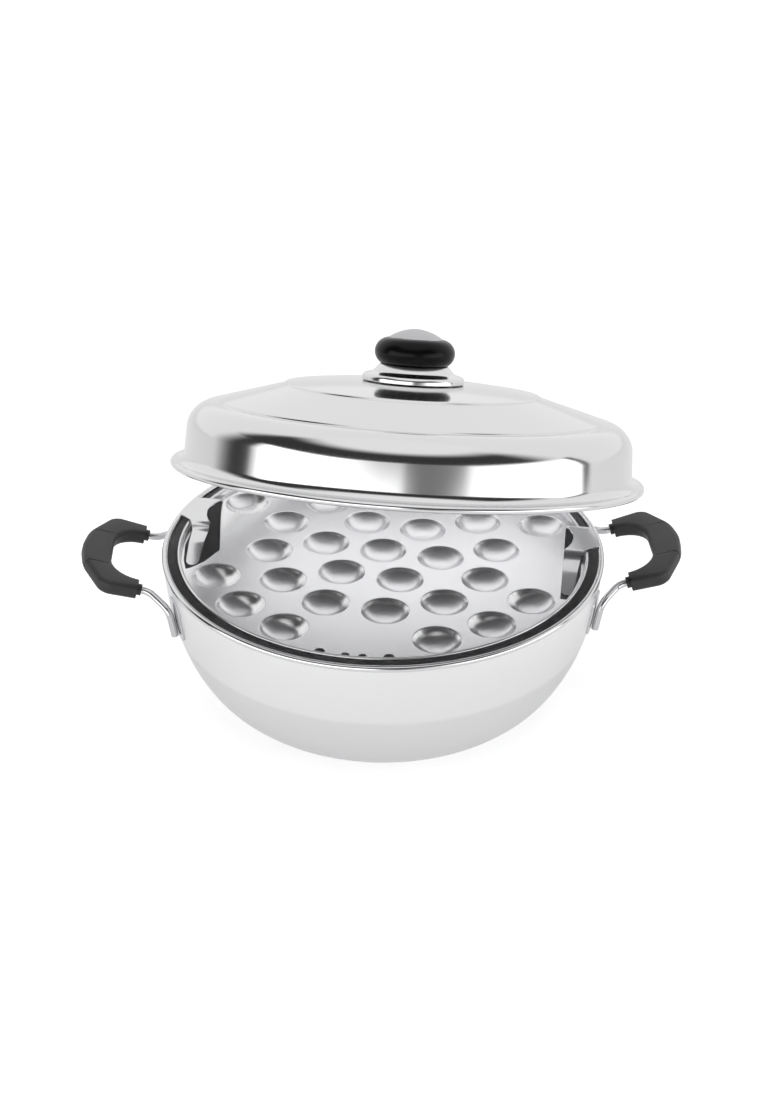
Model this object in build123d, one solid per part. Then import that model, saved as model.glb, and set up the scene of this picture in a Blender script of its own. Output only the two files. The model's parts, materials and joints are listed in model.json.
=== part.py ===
from build123d import *
import math
import os

os.makedirs("parts", exist_ok=True)

# Idli steamer: round-bottomed pot, a tray of small cups and a domed lid.
# Origin at the middle of the pot's base, +Z up, +X to the right-hand grip, +Y to the back.
# The lid is stored tipped back on the pot's rim, as it stands when the food is shown.

# Pot
POT_BEAD_R = 2.2
POT_RIM_R = 150.0
RIM_Z = 109.0
POT_SHEET = 1.0
# Outer wall: how far in from the rim, how far down from the middle of the rim's bead
POT_WALL_STEPS = [
    (1.1, 1.5), (1.3, 9.0), (2.1, 18.0), (3.3, 27.0), (4.9, 36.0), (7.0, 45.0), (9.7, 54.2),
    (13.0, 63.5), (17.2, 72.5), (22.4, 81.6), (29.5, 90.7), (40.0, 99.6), (53.0, 106.1),
]
POT_BASE_INSET = 68.0
CREASE_DROP = 45.0
CREASE_DEPTH = 0.3
CREASE_H = 1.6

# Handles
# A grip is drawn in its own plane: U out from its ends, T along the pot's rim
GRIP_YAW = 2.75
GRIP_TILT = 16.0
GRIP_GAP = 14.5
GRIP_DROP = 8.6
GRIP_H = 10.4
GRIP_ARM_T = 36.1
GRIP_END_W = 12.4
GRIP_APEX_U = 41.0
GRIP_INNER_U = 20.0
GRIP_INNER_T = 28.5
GRIP_BULGE_U = 23.5
GRIP_BULGE_T = 44.5
GRIP_BULGE_ROUND = 10.0
GRIP_FACET_T = 18.0
GRIP_FACET_U = 38.2
GRIP_INNER_ROUND = 19.0
GRIP_FACET_ROUND = 30.0
GRIP_EDGE = 3.0
GRIP_GROOVE_T = 20.0
GRIP_GROOVE_W = 0.9
GRIP_GROOVE_DEPTH = 0.5
ROD_R = 2.5
ROD_BEND_R = 9.0
ROD_SOCKET = 15.0
ROD_STRAIGHT = 5.0
ROD_FOOT_EASE = 0.35
ROD_SOCKET_GAP = 0.05
ROD_KNEE_T = 52.0
ROD_KNEE_DROP = 15.5
ROD_FOOT_T = 52.5
ROD_FOOT_DROP = 35.0
FERRULE_R = 3.8
FERRULE_LENGTH = 2.8
FOOT_W = 19.0
FOOT_H = 30.0
FOOT_DROP = 22.5
FOOT_WALL_STEPS = 8
FOOT_SHEET = 1.2
FOOT_GAP = 0.05
FOOT_ROUND = 7.0

# Tray
TRAY_YAW = -7.7
TRAY_GAP = 10.5
TRAY_RIM_R = POT_RIM_R - TRAY_GAP
TRAY_DROP = 2.4
TRAY_TOP_Z = RIM_Z - TRAY_DROP
TRAY_SHEET = 0.8
TRAY_BEAD_R = 1.2
TRAY_BEAD_RISE = 1.0
TRAY_BEAD_Z = RIM_Z + TRAY_BEAD_RISE
CUP_MOUTH_R = 15.5
CUP_BASE_R = 11.2
CUP_DEPTH = 7.6
CUP_SHEET = 0.7
CUP_MOUTH_H = 1.3
CUP_MOUTH_INSET = 0.4
CUP_MOUTH_SPARE = 0.2
CUP_RING_A_R = 40.1
CUP_RING_A_START = -5.75
CUP_RING_A_COUNT = 6
CUP_RING_B_R = 77.4
CUP_RING_B_START = 9.0
CUP_RING_B_COUNT = 12
CUP_RING_C_R = 116.1
CUP_RING_C_ANGLES = [24.9, 44.7, 64.3]
STEAM_INSET = 8.5
STEAM_WIDE_R = 3.4
STEAM_WIDE_ANGLE = 9.6
STEAM_NARROW_R = 2.7
STEAM_NARROW_ANGLE = 2.4
# Corners of the windows: how far in from the tray's rim, how far back
WINDOW_RIGHT = [
    (17.5, 49.0), (13.5, 49.0), (8.5, 34.0), (4.7, 12.0), (4.7, -14.0), (8.5, -34.0), (12.5, -45.0),
    (16.5, -45.0),
]
WINDOW_LEFT = [
    (16.0, 49.0), (13.5, 49.0), (8.5, 34.0), (4.7, 12.0), (4.7, -14.0), (8.5, -34.0), (12.5, -45.0),
    (15.5, -43.0), (22.5, -34.0), (29.5, -17.0),
]
WINDOW_ROUND = 0.9

# Lifting clips of the tray
CLIP_SHEET = 1.2
CLIP_GAP = 0.3
CLIP_OUT_INSET = 3.6
CLIP_OUT_R = POT_RIM_R - CLIP_OUT_INSET
CLIP_IN_INSET = 16.9
CLIP_IN_X = TRAY_RIM_R - CLIP_IN_INSET
CLIP_TONGUE_INSET = 5.5
CLIP_TONGUE_OUT_X = TRAY_RIM_R - CLIP_TONGUE_INSET
CLIP_TIP_INSET = 8.5
CLIP_TIP_OUT_X = TRAY_RIM_R - CLIP_TIP_INSET
CLIP_TONGUE_ROUND = 4.0
CLIP_NECK_Y = 18.0
CLIP_WAIST_INSET = 3.3
CLIP_WAIST_X = TRAY_RIM_R - CLIP_WAIST_INSET
CLIP_WAIST_Y = 9.8
CLIP_REAR_EASE = 3.0
CLIP_FRONT_Y = 8.5
CLIP_REAR_Y = 43.0
CLIP_FOOT_Y = 58.0
CLIP_FOOT_INSET = 15.5
CLIP_FOOT_OUT_X = TRAY_RIM_R - CLIP_FOOT_INSET
CLIP_RAMP_Y = 50.0
CLIP_FINGER_R = 29.0
CLIP_FINGER_Y = 26.0
CLIP_FINGER_DEPTH = 5.5
CLIP_BEND_R = 2.0
# The tongue's bends: how far forward, how far up or down from the tray's sheet
CLIP_TONGUE_PATH = [(4.5, 1.9), (-11.0, 1.0), (-30.0, -5.6)]

# Lid, in its own frame: height over the mid-plane of its rolled rim
LID_OVERHANG = 7.6
LID_R = POT_RIM_R + LID_OVERHANG
LID_BEAD_R = 2.2
LID_SHEET = 0.8
LID_FLARE_R = 5.8
LID_WALL_INSET = 8.4
LID_WALL_R = LID_R - LID_WALL_INSET
LID_WALL_LEAN = 2.4
LID_WALL_TOP_H = 39.0
LID_SHOULDER_R = 17.0
LID_STEP_OUT_INSET = 30.1
LID_STEP_OUT_R = LID_R - LID_STEP_OUT_INSET
LID_STEP_OUT_H = 41.0
LID_STEP_IN_INSET = 72.3
LID_STEP_IN_R = LID_R - LID_STEP_IN_INSET
LID_STEP_IN_H = 54.3
LID_STEP_LEDGE = 0.7
LID_STEP_RISE = 1.3
LID_CROWN_R = 60.0
LID_CROWN_H = 59.3
LID_CROWN_ROUND = 350.0
LID_MIDDLE_H = 60.4
LID_CREASE_ROUND = 0.9
LID_TILT = 20.04
LID_LEAN = 81.64
# The lowest point of the tipped lid: out from the pot's rim, up from it, and to the side
LID_FOOT_REACH = 6.615
LID_FOOT_RISE = 0.994
LID_FOOT_SIDE = 14.623

# Knob
SCREW_R = 2.4
SCREW_HOLE_R = 2.6
SCREW_TOP_H = 80.0
SCREW_HEAD_R = 4.6
SCREW_HEAD_H = 3.0
SCREW_HEAD_ROUND = 1.2
WASHER_R = 8.0
WASHER_H = 1.0
WASHER_GAP = 0.15
INSERT_R = 4.0
INSERT_TOP_H = 81.0
COLLAR_RIM_R = 33.9
COLLAR_RIM_H = 60.6
COLLAR_SIDE_H = 63.8
COLLAR_NECK_R = 23.4
COLLAR_TOP_H = 71.5
COLLAR_SIDE_ROUND = 2.6
COLLAR_TOP_ROUND = 1.4
COLLAR_SHEET = 0.8
KNOB_BOTTOM_R = 22.0
KNOB_R = 26.5
KNOB_WIDEST_H = 80.8
KNOB_TOP_R = 18.6
KNOB_TOP_H = 88.6
KNOB_RECESS_H = 86.4
KNOB_CAP_R = 17.8
KNOB_CAP_GAP = 0.05
KNOB_CAP_EDGE_H = 88.9
KNOB_CAP_TOP_H = 94.9

CUT_OVERRUN = 5.0


def unit(ax, ay):
    length = math.hypot(ax, ay)
    return ax / length, ay / length


def chain(points, rounds):
    """Straight runs with rounded corners, as lists of (point, left normal)."""
    runs = []
    for i, corner in enumerate(points):
        if i == 0 or i == len(points) - 1:
            near, far = (points[0], points[1]) if i == 0 else (points[-2], points[-1])
            d = unit(far[0] - near[0], far[1] - near[1])
            runs.append([(corner, (-d[1], d[0]))])
            continue
        a, b = points[i - 1], points[i + 1]
        d0 = unit(corner[0] - a[0], corner[1] - a[1])
        d1 = unit(b[0] - corner[0], b[1] - corner[1])
        turn = math.atan2(d0[0] * d1[1] - d0[1] * d1[0], d0[0] * d1[0] + d0[1] * d1[1])
        reach = rounds[i - 1] * math.tan(abs(turn) / 2)
        p0 = (corner[0] - d0[0] * reach, corner[1] - d0[1] * reach)
        p1 = (corner[0] + d1[0] * reach, corner[1] + d1[1] * reach)
        side = math.copysign(1, turn)
        n0, n1 = (-d0[1], d0[0]), (-d1[1], d1[0])
        nm = unit(n0[0] + n1[0], n0[1] + n1[1])
        hub = (p0[0] + n0[0] * side * rounds[i - 1], p0[1] + n0[1] * side * rounds[i - 1])
        pm = (hub[0] - nm[0] * side * rounds[i - 1], hub[1] - nm[1] * side * rounds[i - 1])
        runs.append([(p0, n0), (pm, nm), (p1, n1)])
    return runs


def trace(runs, shift):
    """Edges along a chain, moved sideways by shift."""
    moved = [[(p[0] + n[0] * shift, p[1] + n[1] * shift) for p, n in run] for run in runs]
    edges = []
    for here, after in zip(moved, moved[1:]):
        edges.append(Line(here[-1], after[0]))
        if len(after) == 3:
            edges.append(ThreePointArc(*after))
    return edges, moved[0][0], moved[-1][-1]


def bent_sheet(points, rounds, thickness):
    """Face of a sheet that follows points, its thickness to the left of the path."""
    runs = chain(points, rounds)
    near, start, end = trace(runs, 0)
    far, far_start, far_end = trace(runs, thickness)
    return make_face(near + far + [Line(start, far_start), Line(end, far_end)])


def spun(face):
    """A profile drawn as (radius, height), turned about the Z axis."""
    return revolve(Plane.XZ * face, Axis.Z)


def ring(radius, height, section_r):
    return Pos(0, 0, height) * Torus(radius, section_r)


def handed(shape, side):
    """Side +1 keeps a shape at the right, side -1 turns it to the left."""
    return shape if side > 0 else Rot(0, 0, 180) * shape


def pot_wall():
    return [(POT_RIM_R - inset, RIM_Z - drop) for inset, drop in POT_WALL_STEPS]


def wall_offset(distance):
    """Points of the pot's outer wall moved outwards by distance."""
    wall = pot_wall()
    moved = []
    for i, (r, z) in enumerate(wall):
        a = wall[max(i - 1, 0)]
        b = wall[min(i + 1, len(wall) - 1)]
        d = unit(b[0] - a[0], b[1] - a[1])
        moved.append((r - d[1] * distance, z + d[0] * distance))
    return moved


def wall_radius(z):
    wall = pot_wall()
    for (r0, z0), (r1, z1) in zip(wall, wall[1:]):
        if z0 >= z >= z1:
            return r0 + (r1 - r0) * (z0 - z) / (z0 - z1)
    raise ValueError(z)


def make_pot():
    base_r = POT_RIM_R - POT_BASE_INSET
    outer = pot_wall() + [(base_r, 0)]
    inner = wall_offset(-POT_SHEET) + [(base_r, POT_SHEET)]
    floor = [(base_r, 0), (0, 0), (0, POT_SHEET), (base_r, POT_SHEET)]
    flat = (-1, 0)
    outside = Spline(*outer, tangents=[(0, -1), flat])
    inside = Spline(*inner, tangents=[(0, -1), flat])
    edges = [outside, inside, Line(outer[0], inner[0])]
    for a, b in zip(floor, floor[1:]):
        edges.append(Line(a, b))
    body = spun(make_face(edges))
    body += ring(POT_RIM_R - POT_BEAD_R, RIM_Z, POT_BEAD_R)
    crease_z = RIM_Z - CREASE_DROP
    crease_r = wall_radius(crease_z)
    notch = make_face(Polyline(
        (crease_r - CREASE_DEPTH, crease_z),
        (crease_r + CREASE_H, crease_z - CREASE_H - CREASE_DEPTH),
        (crease_r + CREASE_H, crease_z + CREASE_H + CREASE_DEPTH),
        close=True,
    ))
    return body - spun(notch)


def foot_plate(side, end):
    """Curved plate welded flat on the wall; end +1 is its counter-clockwise one."""
    band = Spline(*wall_offset(FOOT_GAP)[:FOOT_WALL_STEPS])
    back = Spline(*wall_offset(FOOT_GAP + FOOT_SHEET)[:FOOT_WALL_STEPS])
    skin = spun(make_face([band, back, Line(band @ 0, back @ 0), Line(band @ 1, back @ 1)]))
    turn = math.degrees(math.asin(ROD_FOOT_T / POT_RIM_R)) * end
    outline = Plane.YZ * Pos(0, RIM_Z - FOOT_DROP) * RectangleRounded(FOOT_W, FOOT_H, FOOT_ROUND)
    plug = Rot(0, 0, turn) * extrude(outline, POT_RIM_R + CUT_OVERRUN)
    return handed(Rot(0, 0, GRIP_YAW) * (skin & plug), side)


def beside_pot(shape):
    """From a grip's own plane to its place beside the pot, sloping up and out."""
    return Pos(POT_RIM_R + GRIP_GAP, 0, RIM_Z - GRIP_DROP) * Rot(0, -GRIP_TILT, 0) * shape


def beside_pot_point(u, t):
    tilt = math.radians(GRIP_TILT)
    return Vector(
        POT_RIM_R + GRIP_GAP + u * math.cos(tilt), t, RIM_Z - GRIP_DROP + u * math.sin(tilt))


def rod_path(end):
    """Centre-line of one handle rod, from the foot up and out into the grip."""
    lean = ROD_R + FOOT_SHEET + FOOT_GAP * 2 + ROD_FOOT_EASE
    foot_z = RIM_Z - ROD_FOOT_DROP
    knee_z = RIM_Z - ROD_KNEE_DROP
    low_r = wall_radius(foot_z) + lean
    knee_r = wall_radius(knee_z) + lean
    low = Vector(math.sqrt(low_r ** 2 - ROD_FOOT_T ** 2), end * ROD_FOOT_T, foot_z)
    knee = Vector(math.sqrt(knee_r ** 2 - ROD_KNEE_T ** 2), end * ROD_KNEE_T, knee_z)
    mouth = beside_pot_point(-FERRULE_LENGTH - ROD_STRAIGHT, end * GRIP_ARM_T)
    inside = beside_pot_point(ROD_SOCKET, end * GRIP_ARM_T)
    return FilletPolyline(low, knee, mouth, inside, radius=ROD_BEND_R)


def rod(side, end):
    path = rod_path(end)
    section = Plane(origin=path @ 0, z_dir=path % 0) * Circle(ROD_R)
    return handed(Rot(0, 0, GRIP_YAW) * sweep(section, path=path), side)


def bore(radius, end, start_u, length):
    plane = Plane(origin=(start_u, end * GRIP_ARM_T, 0), z_dir=(1, 0, 0))
    return extrude(plane * Circle(radius), length)


def ferrule(side, end):
    body = bore(FERRULE_R, end, -FERRULE_LENGTH, FERRULE_LENGTH)
    start_u = -FERRULE_LENGTH - CUT_OVERRUN
    body -= bore(ROD_R + ROD_SOCKET_GAP, end, start_u, FERRULE_LENGTH + CUT_OVERRUN * 2)
    return handed(Rot(0, 0, GRIP_YAW) * beside_pot(body), side)


def grip(side):
    outer_t = GRIP_ARM_T + GRIP_END_W / 2
    inner_t = GRIP_ARM_T - GRIP_END_W / 2
    outer = [
        (0, -outer_t), (GRIP_BULGE_U, -GRIP_BULGE_T), (GRIP_FACET_U, -GRIP_FACET_T), (GRIP_APEX_U, 0),
        (GRIP_FACET_U, GRIP_FACET_T), (GRIP_BULGE_U, GRIP_BULGE_T), (0, outer_t),
    ]
    inner = [(0, inner_t), (GRIP_INNER_U, GRIP_INNER_T), (GRIP_INNER_U, -GRIP_INNER_T), (0, -inner_t)]
    outer_rounds = [GRIP_BULGE_ROUND, GRIP_FACET_ROUND, GRIP_FACET_ROUND, GRIP_FACET_ROUND, GRIP_BULGE_ROUND]
    inner_rounds = [GRIP_INNER_ROUND, GRIP_INNER_ROUND]
    edges, out_start, out_end = trace(chain(outer, outer_rounds), 0)
    more, in_start, in_end = trace(chain(inner, inner_rounds), 0)
    face = make_face(edges + more + [Line(out_end, in_start), Line(in_end, out_start)])
    body = extrude(Pos(0, 0, -GRIP_H / 2) * face, GRIP_H)
    rims = body.edges().group_by(Axis.Z)
    long_edges = [e for e in rims[0] + rims[-1] if e.bounding_box().max.X > GRIP_EDGE]
    body = chamfer(ShapeList(long_edges), GRIP_EDGE)
    for end in (-1, 1):
        body -= bore(ROD_R + ROD_SOCKET_GAP, end, -CUT_OVERRUN, ROD_SOCKET + CUT_OVERRUN * 2)
        body -= grip_groove(end)
    return handed(Rot(0, 0, GRIP_YAW) * beside_pot(body), side)


def grip_groove(end):
    """Thin groove round the outside of the grip at one facet line."""
    deep_h = GRIP_H - GRIP_GROOVE_DEPTH * 2
    length = GRIP_APEX_U - GRIP_INNER_U + CUT_OVERRUN * 2
    across = Pos((GRIP_APEX_U + GRIP_INNER_U) / 2, end * GRIP_GROOVE_T, 0)
    slab = across * Box(length, GRIP_GROOVE_W, GRIP_H + CUT_OVERRUN)
    return slab - across * Box(length + CUT_OVERRUN, GRIP_GROOVE_W + CUT_OVERRUN, deep_h)


def cup_spots():
    """Centres of the cups in the tray's own plan."""
    spots = [(0, 0)]
    for k in range(CUP_RING_A_COUNT):
        spots.append(polar(CUP_RING_A_R, CUP_RING_A_START + 360 / CUP_RING_A_COUNT * k))
    for k in range(CUP_RING_B_COUNT):
        spots.append(polar(CUP_RING_B_R, CUP_RING_B_START + 360 / CUP_RING_B_COUNT * k))
    for middle in (-90, 90):
        for angle in CUP_RING_C_ANGLES:
            spots.append(polar(CUP_RING_C_R, middle - angle))
            spots.append(polar(CUP_RING_C_R, middle + angle))
    return spots


def polar(radius, degrees):
    return radius * math.cos(math.radians(degrees)), radius * math.sin(math.radians(degrees))


def cup_outside():
    """The outside of one cup, its mouth sunk into the tray's sheet."""
    outer_base_r = CUP_BASE_R + CUP_SHEET / 2
    return spun(make_face(Polyline(
        (0, -CUP_MOUTH_INSET), (CUP_MOUTH_R + CUP_MOUTH_SPARE, -CUP_MOUTH_INSET),
        (CUP_MOUTH_R, -CUP_MOUTH_H), (outer_base_r, -CUP_DEPTH - CUP_SHEET),
        (0, -CUP_DEPTH - CUP_SHEET), close=True,
    )))


def cup_inside():
    """The space inside one cup, its mouth at height zero."""
    return spun(make_face(Polyline(
        (0, CUT_OVERRUN), (CUP_MOUTH_R, CUT_OVERRUN), (CUP_MOUTH_R, 0),
        (CUP_BASE_R, -CUP_DEPTH), (0, -CUP_DEPTH), close=True,
    )))


def window(steps):
    """Opening beside a lifting clip, drawn at the right-hand side of the tray's plan."""
    corners = [(TRAY_RIM_R - inset, y) for inset, y in steps]
    first, last = corners[0], corners[-1]
    middle = ((first[0] + last[0]) / 2, (first[1] + last[1]) / 2)
    edges, start, end = trace(chain([middle] + corners + [middle], [WINDOW_ROUND] * len(corners)), 0)
    return extrude(Pos(0, 0, TRAY_TOP_Z - CUT_OVERRUN) * make_face(edges), CUT_OVERRUN * 2)


def steam_hole(radius, degrees):
    x, y = polar(TRAY_RIM_R - STEAM_INSET, degrees)
    return Pos(x, y, TRAY_TOP_Z) * Cylinder(radius, CUT_OVERRUN)


def make_tray():
    wall_r = TRAY_RIM_R - TRAY_BEAD_R
    under_z = TRAY_TOP_Z - TRAY_SHEET
    body = spun(make_face(Polyline(
        (0, under_z), (wall_r + TRAY_SHEET / 2, under_z), (wall_r + TRAY_SHEET / 2, TRAY_BEAD_Z),
        (wall_r - TRAY_SHEET / 2, TRAY_BEAD_Z), (wall_r - TRAY_SHEET / 2, TRAY_TOP_Z),
        (0, TRAY_TOP_Z), close=True,
    )))
    body += ring(wall_r, TRAY_BEAD_Z, TRAY_BEAD_R)
    outside = cup_outside()
    inside = cup_inside()
    for x, y in cup_spots():
        body += Pos(x, y, TRAY_TOP_Z) * outside
    for x, y in cup_spots():
        body -= Pos(x, y, TRAY_TOP_Z) * inside
    for middle in (-90, 90):
        for angle in (-STEAM_WIDE_ANGLE, STEAM_WIDE_ANGLE):
            body -= steam_hole(STEAM_WIDE_R, middle + angle)
        for angle in (-STEAM_NARROW_ANGLE, STEAM_NARROW_ANGLE):
            body -= steam_hole(STEAM_NARROW_R, middle + angle)
    body -= window(WINDOW_RIGHT)
    body -= mirror(window(WINDOW_LEFT), Plane.YZ)
    return Rot(0, 0, TRAY_YAW) * body


def clip(side):
    """Lifting clip: a foot on the tray, a flat over the pot's rim and a tongue in the window."""
    flat_z = RIM_Z + POT_BEAD_R + CLIP_GAP + CLIP_SHEET
    foot_z = TRAY_TOP_Z + CLIP_SHEET
    path = [(CLIP_FOOT_Y, foot_z), (CLIP_RAMP_Y, foot_z), (CLIP_REAR_Y, flat_z), (CLIP_FRONT_Y, flat_z)]
    path += [(y, TRAY_TOP_Z + rise) for y, rise in CLIP_TONGUE_PATH]
    rounds = [CLIP_BEND_R] * (len(path) - 2)
    band = bent_sheet(path, rounds, CLIP_SHEET)
    strip_x = CLIP_IN_X - CUT_OVERRUN
    edge_plane = Plane(origin=(strip_x, 0, 0), x_dir=(0, 1, 0), z_dir=(1, 0, 0))
    strip = extrude(edge_plane * band, POT_RIM_R - strip_x)
    tip_y = CLIP_TONGUE_PATH[-1][0] - CLIP_SHEET
    rear_y = CLIP_REAR_Y - CLIP_REAR_EASE
    wide = make_face(Polyline(
        (CLIP_IN_X, rear_y), (POT_RIM_R, rear_y), (POT_RIM_R, CLIP_NECK_Y), (CLIP_WAIST_X, CLIP_WAIST_Y),
        (CLIP_TONGUE_OUT_X, CLIP_TONGUE_PATH[0][0]), (CLIP_TONGUE_OUT_X, 0), (CLIP_IN_X, 0), close=True,
    ))
    wide -= Pos(CLIP_IN_X + CLIP_FINGER_DEPTH - CLIP_FINGER_R, CLIP_FINGER_Y) * Circle(CLIP_FINGER_R)
    wide &= Circle(CLIP_OUT_R)
    foot = make_face(Polyline(
        (CLIP_IN_X, rear_y), (CLIP_OUT_R, rear_y), (CLIP_FOOT_OUT_X, CLIP_FOOT_Y),
        (CLIP_IN_X, CLIP_FOOT_Y), close=True,
    )) & Circle(TRAY_RIM_R - TRAY_BEAD_R * 2)
    tongue = make_face(Polyline(
        (CLIP_IN_X, 0), (CLIP_TONGUE_OUT_X, 0), (CLIP_TIP_OUT_X, tip_y), (CLIP_IN_X, tip_y), close=True,
    ))
    tongue = fillet(tongue.vertices().group_by(Axis.Y)[0], CLIP_TONGUE_ROUND)
    body = strip & extrude(wide + foot + tongue, RIM_Z + CUT_OVERRUN * 2)
    if side < 0:
        body = mirror(body, Plane.YZ)
    return Rot(0, 0, TRAY_YAW) * body


def place_on_lid(shape):
    """From the lid's own frame to where the tipped lid rests."""
    lean = Rot(0, 0, LID_LEAN) * Rot(0, LID_TILT, 0) * Rot(0, 0, -LID_LEAN)
    out_x, out_y = polar(1, LID_LEAN)
    tilt = math.radians(LID_TILT)
    reach = POT_RIM_R + LID_FOOT_REACH - LID_R * math.cos(tilt)
    x = reach * out_x + LID_FOOT_SIDE * out_y
    y = reach * out_y - LID_FOOT_SIDE * out_x
    return Pos(x, y, RIM_Z + LID_FOOT_RISE + LID_R * math.sin(tilt)) * lean * shape


def lid_shell():
    bead_ring_r = LID_R - LID_BEAD_R
    path = [
        (bead_ring_r, LID_BEAD_R), (LID_WALL_R, LID_BEAD_R), (LID_WALL_R - LID_WALL_LEAN, LID_WALL_TOP_H),
        (LID_STEP_OUT_R, LID_STEP_OUT_H), (LID_STEP_OUT_R - LID_STEP_LEDGE, LID_STEP_OUT_H + LID_STEP_RISE),
        (LID_STEP_IN_R, LID_STEP_IN_H), (LID_STEP_IN_R - LID_STEP_LEDGE, LID_STEP_IN_H + LID_STEP_RISE),
        (LID_CROWN_R, LID_CROWN_H), (SCREW_HOLE_R, LID_MIDDLE_H),
    ]
    rounds = [LID_FLARE_R, LID_SHOULDER_R] + [LID_CREASE_ROUND] * 4 + [LID_CROWN_ROUND]
    body = spun(bent_sheet(path, rounds, LID_SHEET))
    return body + ring(bead_ring_r, 0, LID_BEAD_R)


def knob_collar():
    path = [
        (COLLAR_RIM_R, COLLAR_RIM_H), (COLLAR_RIM_R, COLLAR_SIDE_H),
        (COLLAR_NECK_R, COLLAR_TOP_H), (SCREW_HOLE_R, COLLAR_TOP_H),
    ]
    return spun(bent_sheet(path, [COLLAR_SIDE_ROUND, COLLAR_TOP_ROUND], COLLAR_SHEET))


def knob_body():
    side = ThreePointArc(
        (KNOB_BOTTOM_R, COLLAR_TOP_H), (KNOB_R, KNOB_WIDEST_H), (KNOB_TOP_R, KNOB_TOP_H))
    inner = [
        (KNOB_TOP_R, KNOB_TOP_H), (KNOB_CAP_R + KNOB_CAP_GAP, KNOB_TOP_H),
        (KNOB_CAP_R + KNOB_CAP_GAP, KNOB_RECESS_H), (0, KNOB_RECESS_H), (0, INSERT_TOP_H),
        (INSERT_R, INSERT_TOP_H), (INSERT_R, COLLAR_TOP_H), (KNOB_BOTTOM_R, COLLAR_TOP_H),
    ]
    edges = [side]
    for a, b in zip(inner, inner[1:]):
        edges.append(Line(a, b))
    return spun(make_face(edges))


def knob_cap():
    rise = KNOB_CAP_TOP_H - KNOB_CAP_EDGE_H
    crown_r = (KNOB_CAP_R ** 2 + rise ** 2) / (rise * 2)
    middle_h = KNOB_CAP_TOP_H - crown_r + math.sqrt(crown_r ** 2 - (KNOB_CAP_R / 2) ** 2)
    crown = ThreePointArc(
        (KNOB_CAP_R, KNOB_CAP_EDGE_H), (KNOB_CAP_R / 2, middle_h), (0, KNOB_CAP_TOP_H))
    rest = [(0, KNOB_CAP_TOP_H), (0, KNOB_RECESS_H), (KNOB_CAP_R, KNOB_RECESS_H), (KNOB_CAP_R, KNOB_CAP_EDGE_H)]
    edges = [crown]
    for a, b in zip(rest, rest[1:]):
        edges.append(Line(a, b))
    return spun(make_face(edges))


def knob_insert():
    outer = Cylinder(INSERT_R, INSERT_TOP_H - COLLAR_TOP_H, align=(Align.CENTER, Align.CENTER, Align.MIN))
    hole = Cylinder(SCREW_R, INSERT_TOP_H - COLLAR_TOP_H, align=(Align.CENTER, Align.CENTER, Align.MIN))
    return Pos(0, 0, COLLAR_TOP_H) * (outer - hole)


def knob_washer():
    under_h = LID_MIDDLE_H - WASHER_GAP - LID_SHEET
    outer = Cylinder(WASHER_R, WASHER_H, align=(Align.CENTER, Align.CENTER, Align.MAX))
    hole = Cylinder(SCREW_HOLE_R, WASHER_H, align=(Align.CENTER, Align.CENTER, Align.MAX))
    return Pos(0, 0, under_h) * (outer - hole)


def knob_screw():
    seat_h = LID_MIDDLE_H - WASHER_GAP - LID_SHEET - WASHER_H
    head = Cylinder(SCREW_HEAD_R, SCREW_HEAD_H, align=(Align.CENTER, Align.CENTER, Align.MAX))
    head = fillet(head.edges().group_by(Axis.Z)[0], SCREW_HEAD_ROUND)
    shank = Cylinder(SCREW_R, SCREW_TOP_H - seat_h, align=(Align.CENTER, Align.CENTER, Align.MIN))
    return Pos(0, 0, seat_h) * (head + shank)


def save(name, shape):
    solids = shape.solids()
    body = solids[0] if len(solids) == 1 else Compound(children=list(solids))
    body.label = name
    export_step(body, f"parts/{name}.step")
    print(name, len(solids), round(sum(s.volume for s in solids)))


save("pot_bowl", make_pot())
for side_name, side in (("right", 1), ("left", -1)):
    save(f"{side_name}_grip", grip(side))
    for end_name, end in (("a", -1), ("b", 1)):
        save(f"{side_name}_foot_plate_{end_name}", foot_plate(side, end))
        save(f"{side_name}_rod_{end_name}", rod(side, end))
        save(f"{side_name}_ferrule_{end_name}", ferrule(side, end))
    save(f"{side_name}_tray_clip", clip(side))
save("cup_tray", make_tray())
save("lid_shell", place_on_lid(lid_shell()))
save("knob_collar", place_on_lid(knob_collar()))
save("knob_body", place_on_lid(knob_body()))
save("knob_cap", place_on_lid(knob_cap()))
save("knob_insert", place_on_lid(knob_insert()))
save("knob_washer", place_on_lid(knob_washer()))
save("knob_screw", place_on_lid(knob_screw()))
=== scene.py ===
import json
import math
import bmesh
import bpy
from mathutils import Matrix, Vector


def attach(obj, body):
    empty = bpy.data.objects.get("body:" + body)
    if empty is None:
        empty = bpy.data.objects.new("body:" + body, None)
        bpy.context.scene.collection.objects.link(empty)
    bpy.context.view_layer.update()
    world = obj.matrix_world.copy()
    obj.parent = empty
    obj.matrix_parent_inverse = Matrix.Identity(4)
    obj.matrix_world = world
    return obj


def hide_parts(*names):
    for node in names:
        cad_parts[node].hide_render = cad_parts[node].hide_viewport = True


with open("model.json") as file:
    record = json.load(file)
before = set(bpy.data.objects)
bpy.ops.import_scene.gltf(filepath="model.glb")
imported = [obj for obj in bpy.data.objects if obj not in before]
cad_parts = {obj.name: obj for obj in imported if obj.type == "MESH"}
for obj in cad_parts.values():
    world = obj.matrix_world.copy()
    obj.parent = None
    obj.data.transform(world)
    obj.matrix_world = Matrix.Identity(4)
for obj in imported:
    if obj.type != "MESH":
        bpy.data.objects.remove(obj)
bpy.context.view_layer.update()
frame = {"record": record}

mm = 0.001
same = 1e-6  # metres within which two points count as one
rimHeight = 109.0  # middle of the pot's rolled rim above the floor


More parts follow.
